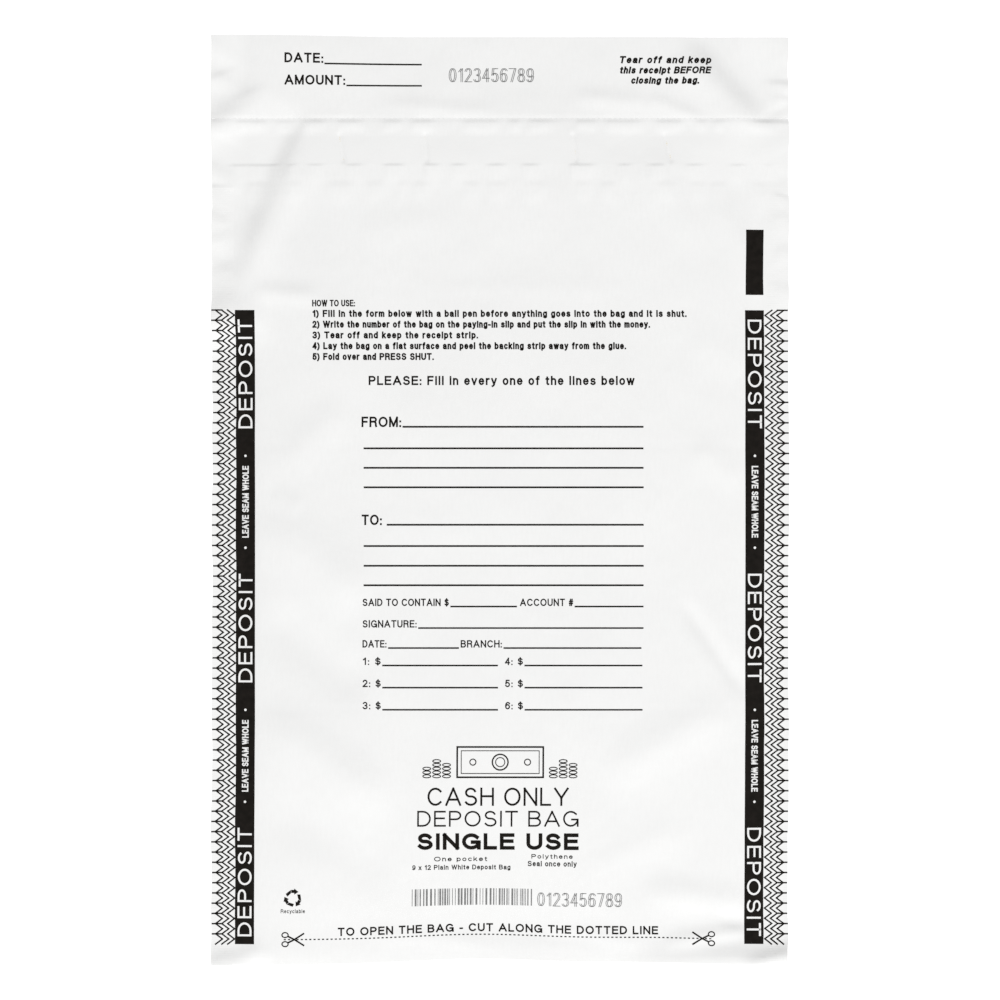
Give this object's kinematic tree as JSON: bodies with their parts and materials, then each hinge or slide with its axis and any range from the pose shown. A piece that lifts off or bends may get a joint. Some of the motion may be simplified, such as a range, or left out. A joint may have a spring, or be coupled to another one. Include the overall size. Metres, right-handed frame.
{
  "type": "cash deposit bag",
  "caption": "Flat film deposit bag with welded sides, a fold-over glued closing lip and a tear-off receipt strip above a perforation.",
  "frame": {"origin": "middle of the bag's width and length, on the surface that the bag lies on, at the outer face of the back panel", "axes": "+X to the right of the printed front, +Y from the folded foot to the receipt, +Z out of the printed front"},
  "size_m": [0.2286, 0.3682, 0.0062],
  "materials": {
    "film": "semi-gloss white polyethylene film",
    "weld": "welded white polyethylene film",
    "adhesive": "tacky hot-melt glue",
    "liner": "silicone-coated backing strip",
    "print_black": "flexographic ink",
    "print_grey": "flexographic ink, light numbering",
    "print_white": "unprinted film showing through the ink"
  },
  "bodies": {
    "pocket": {"front_panel": "film", "back_panel": "film", "foot_fold": "film", "left_side_seal": "weld", "right_side_seal": "weld"},
    "lip": {"closure_lip": "film", "adhesive_strip": "adhesive"},
    "liner": {"release_liner": "liner"},
    "receipt": {"receipt_stub": "film"}
  },
  "joints": [
    {"name": "lip_fold", "type": "hinge", "parent": "pocket", "child": "lip", "pos_m": [0, 0.12365, 0], "axis": [-1, 0, 0], "range_deg": [0, 175]},
    {"name": "liner_peel", "type": "hinge", "parent": "lip", "child": "liner", "pos_m": [0.1143, 0.1393, 0.00005], "axis": [0, -1, 0], "range_deg": [0, 170]},
    {"name": "receipt_tear", "type": "slide", "parent": "lip", "child": "receipt", "axis": [0, 1, 0], "range_m": [0, 0.08]}
  ]
}
